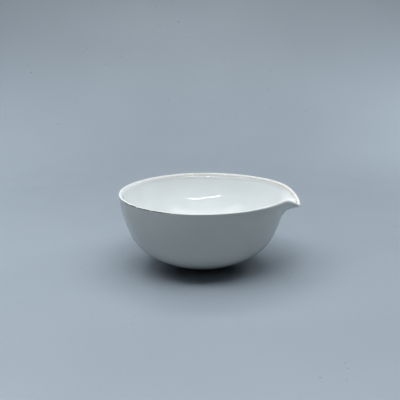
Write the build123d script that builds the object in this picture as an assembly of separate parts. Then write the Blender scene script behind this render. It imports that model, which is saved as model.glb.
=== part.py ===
from build123d import *
from math import acos, asin, cos, exp, hypot, pi, radians, sin
import os

# Porcelain evaporating dish with a pouring lip.
# Frame: origin at the centre of the flat foot, +Z up, pouring lip toward +X, millimetres.

# ---- driving dimensions -------------------------------------------------------------
HEIGHT = 40.0            # floor to the top of the rim, which rises 0.3 more beside the lip
WALL_AT_RIM = 2.0        # glazed wall, which is also the diameter of the rounded rim
WALL_AT_BOTTOM = 3.3     # glazed wall under the middle of the bowl
GLAZE = 0.25             # thickness of each fused coat
FOOT_RADIUS = 10.0       # flat ground on the round bottom, over the glaze
LOW_RADIUS = 56.2        # outside arc of the bottom
LOW_END = radians(31.4)  # slope at which the bottom arc hands over to the hip
HIP_RADIUS = 25.0        # outside arc of the hip
HIP_END = radians(65.6)  # slope at which the hip hands over to the wall
WALL_RADIUS = 62.9       # outside arc of the upper wall

SWELL = 3.4              # how far the rim swells out round the lip
SWELL_SPREAD = radians(45.7)
SWELL_START = 24.7       # height at which the swell begins
HEEL = 0.25              # how far the rim swells out opposite the lip
HEEL_SPREAD = radians(24.5)
BEAK = 3.65              # how far the lip itself reaches past the swell
BEAK_SPREAD = radians(14.5)
BEAK_SHOULDER = 3.1      # how square the shoulders of the beak are
DROOP = 5.85             # how far the lip dips below the rim
DROOP_SPREAD = radians(12.7)
DROOP_SHOULDER = 2.65
LIP_START = 24.8         # height at which the lip begins
LIP_THINNING = 0.25      # how much thinner the wall is at the lip
THIN_SPREAD = radians(13)

BARE_FROM = radians(40)  # outside edge of the unglazed rim, as an angle round the rim
BARE_TO = radians(172)   # inside edge of the unglazed rim
MIDDLE = radians(1)      # slope at which the inside becomes a small flat in the middle
RING_POINTS = 44         # points in each curve that runs round the dish

# ---- outside profile as a function of its slope ---------------------------------------
FOOT_SLOPE = asin(FOOT_RADIUS / LOW_RADIUS)
LOW_CENTRE = LOW_RADIUS * cos(FOOT_SLOPE)
HIP_FOOT_R = LOW_RADIUS * sin(LOW_END)
HIP_FOOT_Z = LOW_CENTRE - LOW_RADIUS * cos(LOW_END)
WALL_FOOT_R = HIP_FOOT_R + HIP_RADIUS * (sin(HIP_END) - sin(LOW_END))
WALL_FOOT_Z = HIP_FOOT_Z + HIP_RADIUS * (cos(LOW_END) - cos(HIP_END))
EDGE_Z = HEIGHT - WALL_AT_RIM / 2
RIM_SLOPE = acos(cos(HIP_END) - (EDGE_Z - WALL_FOOT_Z) / WALL_RADIUS)


def plain_profile(slope):
    """Radius and height of the round outside wall where it has this slope."""
    if slope < LOW_END:
        return LOW_RADIUS * sin(slope), LOW_CENTRE - LOW_RADIUS * cos(slope)
    if slope < HIP_END:
        radius = HIP_FOOT_R + HIP_RADIUS * (sin(slope) - sin(LOW_END))
        return radius, HIP_FOOT_Z + HIP_RADIUS * (cos(LOW_END) - cos(slope))
    radius = WALL_FOOT_R + WALL_RADIUS * (sin(slope) - sin(HIP_END))
    return radius, WALL_FOOT_Z + WALL_RADIUS * (cos(HIP_END) - cos(slope))


def rise(height, start, power):
    """0 below the start height, growing smoothly to 1 at the rim."""
    return max(0.0, (height - start) / (EDGE_Z - start)) ** power


def outside(slope, turn):
    """Point of the glazed outside wall; turn is measured from the pouring lip."""
    radius, height = plain_profile(slope)
    away = abs(turn)
    swell = SWELL * exp(-((away / SWELL_SPREAD) ** 2)) * rise(height, SWELL_START, 3.7)
    heel = HEEL * exp(-(((pi - away) / HEEL_SPREAD) ** 2)) * rise(height, SWELL_START, 2.0)
    beak = BEAK * exp(-((away / BEAK_SPREAD) ** BEAK_SHOULDER)) * rise(height, LIP_START, 3.3)
    dip = DROOP * exp(-((away / DROOP_SPREAD) ** DROOP_SHOULDER)) * rise(height, LIP_START, 1.75)
    reach = radius + swell + heel + beak
    return Vector(reach * cos(turn), reach * sin(turn), height - dip)


def directions(slope, turn):
    """Outward normal and upward direction along the wall at a point of the outside."""
    step = 0.0005
    along = outside(slope, turn + step) - outside(slope, turn - step)
    up = outside(slope, turn) - outside(slope - step, turn)
    normal = along.cross(up).normalized()
    return normal, normal.cross(along).normalized()


def rim_width(turn):
    """Width of the glazed rim, which is a little thinner at the lip."""
    return WALL_AT_RIM - LIP_THINNING * exp(-((turn / THIN_SPREAD) ** 2))


def wall(slope, turn):
    """Glazed wall thickness, thickening steadily from the rim to the bottom."""
    share = slope / RIM_SLOPE
    height = plain_profile(slope)[1]
    thinned = (WALL_AT_RIM - rim_width(turn)) * rise(height, LIP_START, 1.5)
    return WALL_AT_BOTTOM + (WALL_AT_RIM - WALL_AT_BOTTOM) * share - thinned


def ring(place):
    """Closed smooth curve through the points place(turn), closest together at the lip."""
    even = [-pi + 2 * pi * number / RING_POINTS for number in range(RING_POINTS + 1)]
    points = [place(value - 0.78 * sin(value)) for value in even[:-1]]
    return Wire([Edge.make_spline(points, periodic=True, parameters=even)])


def wall_ring(slope, depth, within=False):
    """Ring at this slope, a depth below the glazed outside, or below the inside if within."""
    def place(turn):
        below = wall(slope, turn) - depth if within else depth
        if slope < LOW_END:
            radius = (LOW_RADIUS - below) * sin(slope)
            height = LOW_CENTRE - (LOW_RADIUS - below) * cos(slope)
            return Vector(radius * cos(turn), radius * sin(turn), height)
        normal, _ = directions(slope, turn)
        return outside(slope, turn) - normal * below
    return ring(place)


def rim_ring(angle, depth):
    """Ring a depth below the rounded rim; angle 0 is the outside wall, 180 degrees the inside."""
    def place(turn):
        normal, up = directions(RIM_SLOPE, turn)
        radius = rim_width(turn) / 2 - depth
        middle = outside(RIM_SLOPE, turn) - normal * (rim_width(turn) / 2)
        return middle + normal * (radius * cos(angle)) + up * (radius * sin(angle))
    return ring(place)


def between(start, end, count):
    """Evenly spaced values from start to end, both included."""
    return [start + (end - start) * number / (count - 1) for number in range(count)]


def skin(rings):
    """Smooth surface through a row of rings."""
    return Shell.make_loft(rings).faces()


def even_slopes(start, end, count):
    """Slopes from start to end, the same distance apart along the outside wall."""
    fine = between(start, end, 801)
    path = [0.0]
    for first, second in zip(fine, fine[1:]):
        r1, z1 = plain_profile(first)
        r2, z2 = plain_profile(second)
        path.append(path[-1] + hypot(r2 - r1, z2 - z1))
    chosen = []
    for goal in between(0, path[-1], count):
        nearest = min(range(len(fine)), key=lambda number: abs(path[number] - goal))
        chosen.append(fine[nearest])
    return chosen


def outside_skin(depth):
    """Outside of the dish from the foot to the outer edge of the bare rim."""
    foot = acos(LOW_CENTRE / (LOW_RADIUS - depth))
    walls = [wall_ring(slope, depth) for slope in even_slopes(foot, RIM_SLOPE, 22)]
    angles = between(0, BARE_FROM, 4)
    edge = [rim_ring(angle, depth) for angle in angles]
    return skin(walls) + skin(edge)


def inside_skin(depth):
    """Inside of the bowl from the inner edge of the bare rim to the middle."""
    slopes = even_slopes(RIM_SLOPE, MIDDLE, 26)
    angles = between(BARE_TO, pi, 4)
    edge = [rim_ring(angle, depth) for angle in angles]
    walls = [wall_ring(slope, depth, within=True) for slope in slopes]
    return skin(edge) + skin(walls)


def rim_skin():
    """Bare rounded rim between the two coats."""
    rings = [rim_ring(angle, GLAZE) for angle in between(BARE_FROM, BARE_TO, 7)]
    return skin(rings)


def glaze_edge(angle):
    """Narrow face where a coat stops on the rim."""
    return skin([rim_ring(angle, 0), rim_ring(angle, GLAZE)])


def middle_cap(depth):
    """Small flat face that closes the middle of the bowl."""
    return Face(wall_ring(MIDDLE, depth, within=True))


def flat_ring(outer, inner=None):
    """Flat face on the floor inside the outer ring, with a hole for the inner ring."""
    if inner is None:
        return Face(outer)
    return Face(outer, [inner])


def foot_ring(depth):
    """Where this surface meets the floor."""
    return wall_ring(acos(LOW_CENTRE / (LOW_RADIUS - depth)), depth)


def closed(faces):
    """Solid bounded by these faces, joined in metres so that they meet to a micrometre."""
    small = [scale(face, by=0.001) for face in faces]
    return scale(Solid(Shell(small)), by=1000)


def make_body():
    faces = list(outside_skin(GLAZE))
    faces += list(rim_skin())
    faces += list(inside_skin(GLAZE))
    faces.append(middle_cap(GLAZE))
    faces.append(flat_ring(foot_ring(GLAZE)))
    return closed(faces)


def make_outer_glaze():
    faces = list(outside_skin(0))
    faces += list(outside_skin(GLAZE))
    faces += list(glaze_edge(BARE_FROM))
    faces.append(flat_ring(foot_ring(0), foot_ring(GLAZE)))
    return closed(faces)


def make_inner_glaze():
    faces = list(inside_skin(0))
    faces += list(inside_skin(GLAZE))
    faces += list(glaze_edge(BARE_TO))
    faces += [middle_cap(0), middle_cap(GLAZE)]
    return closed(faces)


os.makedirs("parts", exist_ok=True)
export_step(make_body(), "parts/porcelain_body.step")
export_step(make_outer_glaze(), "parts/outer_glaze.step")
export_step(make_inner_glaze(), "parts/inner_glaze.step")
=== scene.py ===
import math
import bpy
import numpy as np
from mathutils import Matrix, Vector


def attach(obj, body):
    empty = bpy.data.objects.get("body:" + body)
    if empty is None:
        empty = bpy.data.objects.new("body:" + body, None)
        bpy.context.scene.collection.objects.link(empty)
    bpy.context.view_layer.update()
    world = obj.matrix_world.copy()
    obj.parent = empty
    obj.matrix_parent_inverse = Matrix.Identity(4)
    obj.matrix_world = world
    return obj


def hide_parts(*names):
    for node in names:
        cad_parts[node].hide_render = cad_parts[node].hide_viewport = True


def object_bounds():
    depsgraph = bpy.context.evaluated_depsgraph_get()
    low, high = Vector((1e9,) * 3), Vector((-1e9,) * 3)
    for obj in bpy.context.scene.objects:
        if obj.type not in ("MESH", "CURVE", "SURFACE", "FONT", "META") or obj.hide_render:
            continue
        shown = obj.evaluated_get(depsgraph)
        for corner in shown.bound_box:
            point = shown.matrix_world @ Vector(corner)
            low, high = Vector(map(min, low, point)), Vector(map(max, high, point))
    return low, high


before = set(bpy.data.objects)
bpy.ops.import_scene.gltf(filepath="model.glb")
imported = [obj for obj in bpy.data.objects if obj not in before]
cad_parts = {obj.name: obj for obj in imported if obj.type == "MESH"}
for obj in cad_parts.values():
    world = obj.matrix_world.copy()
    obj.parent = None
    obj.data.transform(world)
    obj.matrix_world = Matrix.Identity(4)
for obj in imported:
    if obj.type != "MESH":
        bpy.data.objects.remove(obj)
CAD_LOW, CAD_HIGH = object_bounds()

# The dish as the CAD model draws it, in millimetres: outside arcs, rounded rim and pouring lip.
MM = 0.001
HEIGHT = 40.0
WALL_AT_RIM = 2.0
WALL_AT_BOTTOM = 3.3
GLAZE = 0.25
FOOT_RADIUS = 10.0
LOW_RADIUS = 56.2
LOW_END = math.radians(31.4)
HIP_RADIUS = 25.0
HIP_END = math.radians(65.6)
WALL_RADIUS = 62.9
SWELL, SWELL_SPREAD, SWELL_START = 3.4, math.radians(45.7), 24.7
HEEL, HEEL_SPREAD = 0.25, math.radians(24.5)
BEAK, BEAK_SPREAD, BEAK_SHOULDER = 3.65, math.radians(14.5), 3.1
DROOP, DROOP_SPREAD, DROOP_SHOULDER = 5.85, math.radians(12.7), 2.65
LIP_START = 24.8
LIP_THINNING, THIN_SPREAD = 0.25, math.radians(13)
SWELL_POWER, HEEL_POWER, BEAK_POWER, DROOP_POWER, THIN_POWER = 3.7, 2.0, 3.3, 1.75, 1.5
BARE_FROM = math.radians(40)
CLEARANCE = 0.03  # how far the visible outside lies within the CAD outside

# The inside of the rim is rounded more gently than the outside over its top few millimetres.
RELIEF, RELIEF_DEPTH, RELIEF_POWER = 0.47, 2.7, 1.7
RIM_END = math.radians(165)
RIM_TOP = 0.2
SHOULDER_RISE = 0.23  # how far up the wall, past the CAD's edge, the rim begins to round over
COAT_GAP = 0.35       # how far below that the inner coat ends
LIP_REACH = math.radians(34)   # how far from the lip these changes to the rim fade out
MIDDLE = math.radians(1.5)     # slope of the innermost row, at the middle of the bowl

FOOT_SLOPE = math.asin(FOOT_RADIUS / LOW_RADIUS)
LOW_CENTRE = LOW_RADIUS * math.cos(FOOT_SLOPE)
HIP_R = LOW_RADIUS * math.sin(LOW_END)
HIP_Z = LOW_CENTRE - LOW_RADIUS * math.cos(LOW_END)
WALL_R = HIP_R + HIP_RADIUS * (math.sin(HIP_END) - math.sin(LOW_END))
WALL_Z = HIP_Z + HIP_RADIUS * (math.cos(LOW_END) - math.cos(HIP_END))
EDGE_Z = HEIGHT - WALL_AT_RIM / 2
RIM_SLOPE = math.acos(math.cos(HIP_END) - (EDGE_Z - WALL_Z) / WALL_RADIUS)
SHOULDER = RIM_SLOPE + SHOULDER_RISE / WALL_RADIUS
INNER_TOP = SHOULDER + RIM_TOP / WALL_RADIUS
COAT_TOP = SHOULDER - COAT_GAP / WALL_RADIUS
AROUND = 384          # points round each row
CROWDING = 0.6        # how much closer together they are at the lip


def turns():
    """Angles round the dish from the lip, close together at the lip."""
    even = -math.pi + 2 * math.pi * np.arange(AROUND) / AROUND
    return even - CROWDING * np.sin(even)


TURNS = turns()
AWAY_FROM_LIP = 1 - np.exp(-((TURNS / LIP_REACH) ** 4))


def local(slope):
    """Slopes round the dish for a row; near the lip the rows reach a little less high."""
    share = max(0.0, (slope - HIP_END) / (SHOULDER - HIP_END))
    return slope - share * (SHOULDER - RIM_SLOPE) * (1 - AWAY_FROM_LIP)


def profile(slope):
    """Radius and height of the plain outside wall at this slope."""
    slope = np.asarray(slope, float)
    low = (LOW_RADIUS * np.sin(slope), LOW_CENTRE - LOW_RADIUS * np.cos(slope))
    hip = (
        HIP_R + HIP_RADIUS * (np.sin(slope) - math.sin(LOW_END)),
        HIP_Z + HIP_RADIUS * (math.cos(LOW_END) - np.cos(slope)),
    )
    wall = (
        WALL_R + WALL_RADIUS * (np.sin(slope) - math.sin(HIP_END)),
        WALL_Z + WALL_RADIUS * (math.cos(HIP_END) - np.cos(slope)),
    )
    radius = np.where(slope < LOW_END, low[0], np.where(slope < HIP_END, hip[0], wall[0]))
    height = np.where(slope < LOW_END, low[1], np.where(slope < HIP_END, hip[1], wall[1]))
    return radius, height


def rise(height, start, power):
    """0 below the start height, growing smoothly to 1 at the rim."""
    return np.clip((height - start) / (EDGE_Z - start), 0, None) ** power


def outside(slope, turn):
    """Points of the glazed outside, one for each slope and turn pair."""
    radius, height = profile(slope)
    away = np.abs(turn)
    swell = SWELL * np.exp(-((away / SWELL_SPREAD) ** 2))
    swell = swell * rise(height, SWELL_START, SWELL_POWER)
    heel = HEEL * np.exp(-(((math.pi - away) / HEEL_SPREAD) ** 2))
    heel = heel * rise(height, SWELL_START, HEEL_POWER)
    beak = BEAK * np.exp(-((away / BEAK_SPREAD) ** BEAK_SHOULDER))
    beak = beak * rise(height, LIP_START, BEAK_POWER)
    dip = DROOP * np.exp(-((away / DROOP_SPREAD) ** DROOP_SHOULDER))
    dip = dip * rise(height, LIP_START, DROOP_POWER)
    reach = radius + swell + heel + beak - CLEARANCE
    return np.stack([reach * np.cos(turn), reach * np.sin(turn), height - dip], -1)


def directions(slope, turn):
    """Outward normal and upward direction along the wall."""
    step = 0.0005
    along = outside(slope, turn + step) - outside(slope, turn - step)
    up = outside(slope, turn) - outside(slope - step, turn)
    normal = np.cross(along, up)
    normal /= np.linalg.norm(normal, axis=-1, keepdims=True)
    rising = np.cross(normal, along)
    return normal, rising / np.linalg.norm(rising, axis=-1, keepdims=True)


def rim_width():
    """Width of the glazed rim round the dish, a little thinner at the lip."""
    return WALL_AT_RIM - LIP_THINNING * np.exp(-((TURNS / THIN_SPREAD) ** 2))


def wall(row):
    """Glazed wall thickness round the dish at this row."""
    slope = local(row)
    _, height = profile(slope)
    thinned = (WALL_AT_RIM - rim_width()) * rise(height, LIP_START, THIN_POWER)
    plain = WALL_AT_BOTTOM + (WALL_AT_RIM - WALL_AT_BOTTOM) * slope / RIM_SLOPE
    below = WALL_RADIUS * (SHOULDER - row)
    relief = RELIEF * AWAY_FROM_LIP * max(0.0, 1 - below / RELIEF_DEPTH) ** RELIEF_POWER
    return plain - thinned - relief


def wall_row(slope, depth):
    """Row of points round the dish, a depth below the glazed outside."""
    slopes = local(slope)
    depth = np.zeros(AROUND) + depth
    if slope < LOW_END:
        reach = LOW_RADIUS - depth
        radius = reach * math.sin(slope)
        height = LOW_CENTRE - reach * math.cos(slope)
        return np.stack([radius * np.cos(TURNS), radius * np.sin(TURNS), height], -1)
    normal, _ = directions(slopes, TURNS)
    return outside(slopes, TURNS) - normal * depth[:, None]


def rim_row(angle, depth):
    """Row of points a depth below the rounded rim; angle 0 is the outside wall."""
    slopes = local(SHOULDER)
    normal, rising = directions(slopes, TURNS)
    relief = RELIEF * AWAY_FROM_LIP * (1 + RIM_TOP / RELIEF_DEPTH) ** RELIEF_POWER
    radius = (rim_width() - relief) / (1 - math.cos(RIM_END))
    middle = outside(slopes, TURNS) - normal * radius[:, None]
    radius = (radius - depth)[:, None]
    return middle + normal * radius * math.cos(angle) + rising * radius * math.sin(angle)


def even_slopes(start, end, count):
    """Slopes the same distance apart along the outside wall."""
    fine = np.linspace(start, end, 4001)
    radius, height = profile(fine)
    path = np.concatenate([[0], np.cumsum(np.hypot(np.diff(radius), np.diff(height)))])
    return np.interp(np.linspace(0, path[-1], count), path, fine)


def closed_mesh(name, rows, loop=False, start=None, end=None, edge=None):
    """Mesh through rows round the dish: a loop, or closed by points at either end."""
    points = np.concatenate(rows)
    faces = []
    pairs = [(k, k + 1) for k in range(len(rows) - 1)]
    if loop:
        pairs.append((len(rows) - 1, 0))
    for first, second in pairs:
        for k in range(AROUND):
            after = (k + 1) % AROUND
            faces.append((first * AROUND + k, first * AROUND + after,
                          second * AROUND + after, second * AROUND + k))
    vertices = (points * MM).tolist()
    if start is not None:
        vertices.append(tuple(np.array(start) * MM))
        middle = len(vertices) - 1
        faces += [(middle, (k + 1) % AROUND, k) for k in range(AROUND)]
    if end is not None:
        vertices.append(tuple(np.array(end) * MM))
        middle = len(vertices) - 1
        base = (len(rows) - 1) * AROUND
        faces += [(middle, base + k, base + (k + 1) % AROUND) for k in range(AROUND)]
    mesh = bpy.data.meshes.new(name)
    mesh.from_pydata(vertices, [], faces)
    mesh.update()
    mesh.polygons.foreach_set("use_smooth", [True] * len(mesh.polygons))
    if edge:
        values = np.zeros(len(vertices))
        for row, value in edge.items():
            values[row * AROUND:(row + 1) * AROUND] = value
        mesh.attributes.new("edge", "FLOAT", "POINT").data.foreach_set("value", values)
    piece = bpy.data.objects.new(name, mesh)
    bpy.context.scene.collection.objects.link(piece)
    return piece


def foot_slope(depth):
    """Slope at which the surface this deep below the outside meets the floor."""
    return math.acos(LOW_CENTRE / (LOW_RADIUS - depth))


def inside_floor(cover=0.0):
    """Height of the middle of the bowl, less a cover of glaze."""
    return LOW_CENTRE - (LOW_RADIUS - wall(0)[0] + cover)


# ---- porcelain body ---------------------------------------------------------------------
FOOT_ROWS = (2.0, 4.5, 7.0)  # radii of the rows across the foot


def make_body():
    rows = []
    for radius in FOOT_ROWS:
        rows.append(np.stack([radius * np.cos(TURNS), radius * np.sin(TURNS), 0 * TURNS], -1))
    for slope in even_slopes(foot_slope(GLAZE), SHOULDER, 60):
        rows.append(wall_row(slope, GLAZE))
    for angle in np.linspace(0, RIM_END, 29)[1:]:
        rows.append(rim_row(angle, GLAZE))
    for slope in even_slopes(INNER_TOP, MIDDLE, 60)[1:]:
        rows.append(wall_row(slope, wall(slope) - GLAZE))
    return closed_mesh("bowl_body", rows, start=(0, 0, 0), end=(0, 0, inside_floor(GLAZE)))


# ---- glaze coats ------------------------------------------------------------------------
EDGE_WIDTH = math.radians(16)            # how much of the rim the outer coat's rounded end takes
OUTER_EDGE_ROWS = 16                     # rows of the outer coat, past the wall, that count as edge
THINNING = [0.12, 0.20, 0.24, 0.25]      # thickness of the inner coat at its first rows
INNER_EDGE_ROWS, EDGE_STEP = 19, 0.055   # rows over which the inner edge fades, and its step
NEAR_RIM, NEAR_ROWS, NEAR_GAP = 5.0, 28, 0.3  # rows packed closer together under the rim


def coat_edge(limit, way):
    """Rows that round a coat over where it stops on the rim."""
    rows = []
    for turn in np.linspace(0, math.pi / 2, 7)[1:]:
        angle = limit - way * EDGE_WIDTH * (1 - math.sin(turn))
        rows.append(rim_row(angle, GLAZE * (1 - math.cos(turn))))
    return rows


def make_outer_coat():
    rows = []
    for slope in even_slopes(FOOT_SLOPE, SHOULDER, 130):
        rows.append(wall_row(slope, 0))
    last = len(rows) - 1
    for angle in np.linspace(0, BARE_FROM - EDGE_WIDTH, 7)[1:]:
        rows.append(rim_row(angle, 0))
    rows += coat_edge(BARE_FROM, 1)
    edge = {last + k: 1.0 for k in range(1, OUTER_EDGE_ROWS + 1)}
    edge[last] = 0.8
    for angle in np.linspace(BARE_FROM, 0, 6)[1:]:
        rows.append(rim_row(angle, GLAZE))
    for slope in even_slopes(SHOULDER, foot_slope(GLAZE), 60)[1:]:
        rows.append(wall_row(slope, GLAZE))
    return closed_mesh("outer_coat", rows, loop=True, edge=edge)


def inner_slopes(count):
    """Slopes down the inside, closer together under the rim."""
    near = np.linspace(COAT_TOP, SHOULDER - NEAR_RIM / WALL_RADIUS, NEAR_ROWS)[1:-1]
    rest = even_slopes(near[-1] - NEAR_GAP / WALL_RADIUS, MIDDLE, count)
    return np.concatenate([near, rest])


def make_inner_coat():
    """The coat thins out to nothing where it runs onto the bare rim."""
    rows = []
    for slope in even_slopes(MIDDLE, COAT_TOP, 60):
        rows.append(wall_row(slope, wall(slope) - GLAZE))
    last = len(rows) - 1
    slopes = inner_slopes(120)
    for slope, depth in zip(slopes, THINNING):
        rows.append(wall_row(slope, wall(slope) - GLAZE + depth))
    for slope in slopes[len(THINNING):]:
        rows.append(wall_row(slope, wall(slope)))
    # The edge value places both the dirt and the painted shade along the coat's top edge.
    edge = {last + k: 1 - EDGE_STEP * k for k in range(INNER_EDGE_ROWS)}
    edge[last - 1] = 1.0
    ends = {"start": (0, 0, inside_floor(GLAZE)), "end": (0, 0, inside_floor())}
    return closed_mesh("inner_coat", rows, edge=edge, **ends)


# ---- materials --------------------------------------------------------------------------
def new_material(name):
    material = bpy.data.materials.new(name)
    material.use_nodes = True
    tree = material.node_tree
    tree.nodes.clear()
    out = tree.nodes.new("ShaderNodeOutputMaterial")
    shader = tree.nodes.new("ShaderNodeBsdfPrincipled")
    tree.links.new(shader.outputs["BSDF"], out.inputs["Surface"])
    return material, tree, shader


def math_node(tree, operation, first, second=None, clamp=False):
    node = tree.nodes.new("ShaderNodeMath")
    node.operation = operation
    node.use_clamp = clamp
    for socket, value in zip(node.inputs, (first, second)):
        if isinstance(value, (int, float)):
            socket.default_value = value
        elif value is not None:
            tree.links.new(value, socket)
    return node.outputs[0]


def ramp(tree, value, low, high, to_low=0.0, to_high=1.0):
    """Smooth step of a value from one level to another."""
    node = tree.nodes.new("ShaderNodeMapRange")
    node.interpolation_type = "SMOOTHSTEP"
    tree.links.new(value, node.inputs["Value"])
    levels = {"From Min": low, "From Max": high, "To Min": to_low, "To Max": to_high}
    for key, number in levels.items():
        node.inputs[key].default_value = number
    return node.outputs["Result"]


def place_nodes(tree):
    """Object position, its angle round the dish from the lip and its height in metres."""
    coordinates = tree.nodes.new("ShaderNodeTexCoord")
    parts = tree.nodes.new("ShaderNodeSeparateXYZ")
    tree.links.new(coordinates.outputs["Object"], parts.inputs[0])
    angle = math_node(tree, "ARCTAN2", parts.outputs[1], parts.outputs[0])
    return coordinates.outputs["Object"], angle, parts.outputs[2]


def noise_node(tree, position, scale, detail):
    node = tree.nodes.new("ShaderNodeTexNoise")
    node.inputs["Scale"].default_value = scale
    node.inputs["Detail"].default_value = detail
    tree.links.new(position, node.inputs["Vector"])
    return node.outputs["Fac"]


def mixed(tree, share, first, second):
    """Colour between two colours; each is a colour or the output of another node."""
    node = tree.nodes.new("ShaderNodeMix")
    node.data_type = "RGBA"
    tree.links.new(share, node.inputs["Factor"])
    for socket, colour in ((node.inputs[6], first), (node.inputs[7], second)):
        if isinstance(colour, tuple):
            socket.default_value = (*colour, 1)
        else:
            tree.links.new(colour, socket)
    return node.outputs[2]


def edge_value(tree):
    """1 where a coat ends on the rim, falling to 0 a little way down the coat."""
    node = tree.nodes.new("ShaderNodeAttribute")
    node.attribute_name = "edge"
    return node.outputs["Fac"]


def bumped(tree, shader, height, distance, sockets=("Normal",)):
    node = tree.nodes.new("ShaderNodeBump")
    node.inputs["Strength"].default_value = 1.0
    node.inputs["Distance"].default_value = distance
    tree.links.new(height, node.inputs["Height"])
    for name in sockets:
        tree.links.new(node.outputs["Normal"], shader.inputs[name])


def arc(tree, angle, start, full, less, end):
    """Smooth band between two angles round the dish, in degrees."""
    rising = ramp(tree, angle, math.radians(start), math.radians(full))
    falling = ramp(tree, angle, math.radians(less), math.radians(end), 1.0, 0.0)
    return math_node(tree, "MULTIPLY", rising, falling)


SHADE_ARC = (-10, 25, 125, 165)  # where painted shade darkens a coat near its edge, in degrees from the lip


def glaze_material(name, colour, shade, painted_shade, stain, band, patchy):
    """Clear glossy glaze over white porcelain, with dirt held along its edge on the rim.

    The colour after shade is painted shade near the coat's edge on the rim; stain is the
    dirt's colour, band the angles round the dish between which the dirt lies, and patchy
    the levels of noise that break it up.
    """
    material, tree, shader = new_material(name)
    position, angle, _ = place_nodes(tree)
    cloud = ramp(tree, noise_node(tree, position, 55, 3.0), 0.35, 0.7)
    tint = mixed(tree, cloud, colour, shade)
    speck = ramp(tree, noise_node(tree, position, 1500, 0.0), 0.86, 0.88)
    tint = mixed(tree, speck, tint, (0.42, 0.38, 0.31))
    edge = edge_value(tree)
    # Painted shade: the coat is darkened towards its edge on the rim, within a band of angles round
    # the dish from the lip.
    painted_shade_mask = arc(tree, angle, *SHADE_ARC)
    painted_shade_mask = math_node(tree, "MULTIPLY", ramp(tree, edge, 0.0, 0.75), painted_shade_mask)
    tint = mixed(tree, painted_shade_mask, tint, painted_shade)
    dirt = ramp(tree, noise_node(tree, position, 420, 3.0), patchy[0], patchy[1])
    dirt = math_node(tree, "MULTIPLY", dirt, ramp(tree, edge, 0.72, 0.9))
    dirt = math_node(tree, "MULTIPLY", dirt, arc(tree, angle, *band))
    tint = mixed(tree, dirt, tint, stain)
    tree.links.new(tint, shader.inputs["Base Color"])
    shader.inputs["Roughness"].default_value = 0.5
    shader.inputs["Specular IOR Level"].default_value = 0.0
    shader.inputs["Coat Weight"].default_value = 1.0
    shader.inputs["Coat Roughness"].default_value = 0.04
    shader.inputs["Coat IOR"].default_value = 1.5
    unevenness = noise_node(tree, position, 160, 1.0)
    bumped(tree, shader, unevenness, 0.000001, ("Normal", "Coat Normal"))
    return material


def bare_material():
    """Unglazed hard porcelain: matt, slightly warm, greyer where it is ground and handled."""
    material, tree, shader = new_material("bare_porcelain")
    position, _, height = place_nodes(tree)
    cloud = ramp(tree, noise_node(tree, position, 180, 4.0), 0.35, 0.68)
    tint = mixed(tree, cloud, (0.85, 0.85, 0.84), (0.80, 0.79, 0.76))
    foot = ramp(tree, height, 0.0002, 0.0006, 1.0, 0.0)
    grime = ramp(tree, noise_node(tree, position, 240, 6.0), 0.3, 0.75)
    grime = math_node(tree, "MULTIPLY", foot, grime)
    tint = mixed(tree, grime, tint, (0.52, 0.49, 0.44))
    tree.links.new(tint, shader.inputs["Base Color"])
    shader.inputs["Roughness"].default_value = 0.6
    shader.inputs["Specular IOR Level"].default_value = 0.35
    grain = noise_node(tree, position, 2600, 3.0)
    bumped(tree, shader, grain, 0.00002)
    return material


body = make_body()
body.data.materials.append(bare_material())
outer = make_outer_coat()
# Painted shade: the outer glaze is the same glaze as the inner one, given darker colours so that
# the outside of the dish looks shaded.
outer.data.materials.append(glaze_material(
    "outer_glaze", colour=(0.665, 0.69, 0.665), shade=(0.645, 0.67, 0.645),
    painted_shade=(0.62, 0.64, 0.60), stain=(0.08, 0.068, 0.052),
    band=(-158, -140, -112, -96), patchy=(0.42, 0.52)))
inner = make_inner_coat()
# The darker colour given for the coat's edge is painted shade under the rim and in the lip.
inner.data.materials.append(glaze_material(
    "inner_glaze", colour=(0.82, 0.845, 0.84), shade=(0.80, 0.825, 0.82),
    painted_shade=(0.69, 0.715, 0.705), stain=(0.55, 0.51, 0.445),
    band=(-12, 12, 112, 150), patchy=(0.25, 0.5)))
for piece, node, slot in (
    (body, "porcelain_body", "bare_porcelain"),
    (outer, "outer_glaze", "outer_glaze"),
    (inner, "inner_glaze", "inner_glaze"),
):
    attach(piece, "root")
    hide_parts(node)

# ---- camera -----------------------------------------------------------------------------
AZIMUTH = math.radians(7.94)
PITCH = 0.261
ROLL = -0.0097
RANGE = 0.42651
AIM = (0.0030175 * RANGE, 0.0112625 * RANGE)  # offset of the rim's centre from the view's
turn_to_view = Matrix.Rotation(AZIMUTH, 3, "Z")
forward = Vector((0, math.cos(PITCH), -math.sin(PITCH)))
level_up = Vector((0, math.sin(PITCH), math.cos(PITCH)))
level_right = Vector((1, 0, 0))
right = level_right * math.cos(ROLL) + level_up * math.sin(ROLL)
above = level_up * math.cos(ROLL) - level_right * math.sin(ROLL)
rim_centre = Vector((0, 0, HEIGHT * MM))
place = rim_centre - (right * AIM[0] + above * AIM[1] + forward * RANGE)
camera_data = bpy.data.cameras.new("camera")
camera_data.lens = 72
camera_data.sensor_width = 36
camera_data.clip_start, camera_data.clip_end = 0.01, 20
camera = bpy.data.objects.new("camera", camera_data)
bpy.context.scene.collection.objects.link(camera)
axes = Matrix((right, above, -forward)).transposed()
camera.matrix_world = Matrix.Translation(turn_to_view @ place) @ (turn_to_view @ axes).to_4x4()
bpy.context.scene.camera = camera


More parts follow.
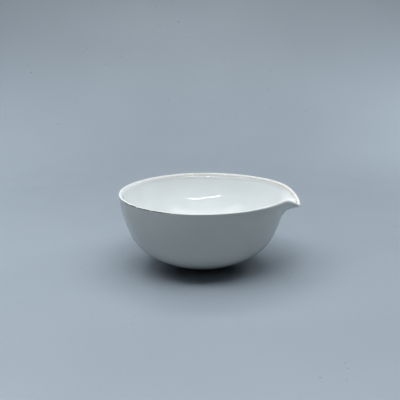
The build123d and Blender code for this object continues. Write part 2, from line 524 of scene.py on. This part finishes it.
# ---- floor, backdrop and lights ---------------------------------------------------------
def make_floor():
    """Seamless paper: flat floor that curves up into a backdrop far behind the dish."""
    far, bend, top, near, half = 0.2, 0.26, 1.2, -1.2, 1.2
    flat_steps, bend_steps, columns = 12, 24, 8
    line = [(near + (far - near) * k / flat_steps, 0.0) for k in range(flat_steps)]
    for k in range(bend_steps + 1):
        a = math.pi / 2 * k / bend_steps
        line.append((far + bend * math.sin(a), bend * (1 - math.cos(a))))
    line.append((far + bend, top))
    vertices, faces = [], []
    for y, z in line:
        for c in range(columns + 1):
            vertices.append((-half + 2 * half * c / columns, y, z))
    for k in range(len(line) - 1):
        for c in range(columns):
            a = k * (columns + 1) + c
            faces.append((a, a + 1, a + columns + 2, a + columns + 1))
    mesh = bpy.data.meshes.new("floor")
    mesh.from_pydata(vertices, [], faces)
    mesh.polygons.foreach_set("use_smooth", [True] * len(mesh.polygons))
    floor = bpy.data.objects.new("floor", mesh)
    bpy.context.scene.collection.objects.link(floor)
    floor.rotation_euler = (0, 0, AZIMUTH)
    floor.location.z = CAD_LOW.z
    material, tree, shader = new_material("paper")
    position, _, _ = place_nodes(tree)
    cloud = ramp(tree, noise_node(tree, position, 9, 2.0), 0.3, 0.7)
    tint = mixed(tree, cloud, (0.315, 0.36, 0.405), (0.33, 0.376, 0.423))
    fleck = ramp(tree, noise_node(tree, position, 420, 0.0), 0.84, 0.87)
    tint = mixed(tree, fleck, tint, (0.22, 0.25, 0.285))
    tree.links.new(tint, shader.inputs["Base Color"])
    rough = ramp(tree, noise_node(tree, position, 30, 2.0), 0.3, 0.7, 0.38, 0.44)
    tree.links.new(rough, shader.inputs["Roughness"])
    shader.inputs["Specular IOR Level"].default_value = 0.5
    bumped(tree, shader, noise_node(tree, position, 900, 3.0), 0.00003)
    mesh.materials.append(material)


def area_light(name, left, right, target, width, power, colour, spread=180):
    """Soft rectangular light between two ends, given as seen from the camera's side."""
    left, right = turn_to_view @ Vector(left), turn_to_view @ Vector(right)
    data = bpy.data.lights.new(name, "AREA")
    data.shape = "RECTANGLE"
    data.size, data.size_y = (right - left).length, width
    data.energy = power
    data.color = colour
    data.spread = math.radians(spread)
    light = bpy.data.objects.new(name, data)
    bpy.context.scene.collection.objects.link(light)
    along = (right - left).normalized()
    back = ((left + right) / 2 - turn_to_view @ Vector(target)).normalized()
    back = (back - along * back.dot(along)).normalized()
    axes = Matrix((along, back.cross(along), back)).transposed()
    light.matrix_world = Matrix.Translation((left + right) / 2) @ axes.to_4x4()
    return light


def overhead(name, left, right, y, z, width, power):
    """Level panel facing straight down."""
    middle = ((left + right) / 2, y, 0)
    return area_light(name, (left, y, z), (right, y, z), middle, width, power, TINT)


TINT = (0.93, 0.97, 1.0)
WHITE = (1, 1, 1)
DISH = (0, 0, 0.02)   # what the lights behind the dish are aimed at
# name, left and right ends, distance back, height, width, watts
PANELS = (
    ("low_panel", -0.5, 0.5, 0.0, 0.42, 0.26, 1.58),
    ("low_front", -0.1, 0.1, -0.15, 0.42, 0.15, 0.525),
    ("high_panel", -0.5, 0.5, -0.15, 0.62, 0.15, 1.2),
    ("high_left", -0.5, -0.3, 0.0, 0.62, 0.15, 0.31),
    ("high_right", 0.25, 0.5, 0.0, 0.62, 0.15, 0.16),
)
# name, left end, right end, target, width, watts, spread in degrees
SHADED = (
    ("back_left", (-0.45, 0.3, 0.62), (-0.25, 0.3, 0.62), DISH, 0.2, 0.3, 60),
    ("back_right", (0.25, 0.3, 0.62), (0.45, 0.3, 0.62), DISH, 0.2, 0.14, 60),
    ("back", (-0.25, 0.38, 0.62), (0.25, 0.38, 0.62), DISH, 0.12, 0.3, 90),
    ("backdrop_left", (-0.375, 0.1, 0.5), (-0.225, 0.1, 0.5), (-0.15, 0.29, 0.0), 0.1, 0.08, 46),
    ("backdrop_right", (0.225, 0.1, 0.5), (0.375, 0.1, 0.5), (0.18, 0.29, 0.0), 0.1, 0.13, 46),
    ("front_floor", (-0.25, -0.24, 0.25), (0.25, -0.24, 0.25), (0, -0.24, 0), 0.05, 0.085, 60),
    ("backdrop_foot", (-0.25, 0.15, 0.6), (0.25, 0.15, 0.6), (0, 0.33, 0), 0.1, 0.143, 50),
)
# Panels that are seen only as reflections in the glaze.
CARDS = (
    ("card_left", -1.35, -0.55, -0.55, 0.6, 0.3, 1.9),
    ("card_middle", -0.55, 0.2, -0.5, 0.6, 0.2, 0.7),
    ("card_right", 0.2, 0.95, -0.6, 0.6, 0.25, 1.5),
)
make_floor()
panels = [overhead(*panel) for panel in PANELS]
panels[0].visible_glossy = False
for name, left, right, target, width, power, spread in SHADED:
    area_light(name, left, right, target, width, power, TINT, spread)
lamp = area_light(
    "lamp", (-0.486, -0.776, 0.335), (0.352, -0.807, 0.404), (0, 0, 0.03), 0.007, 0.8, WHITE)
for light in [lamp] + [overhead(*card) for card in CARDS]:
    light.visible_diffuse = False
world = bpy.data.worlds.new("studio")
world.use_nodes = True
background = world.node_tree.nodes["Background"]
background.inputs["Color"].default_value = (0.75, 0.85, 1.0, 1)
background.inputs["Strength"].default_value = 0.008
bpy.context.scene.world = world
bpy.context.scene.view_settings.view_transform = "Standard"
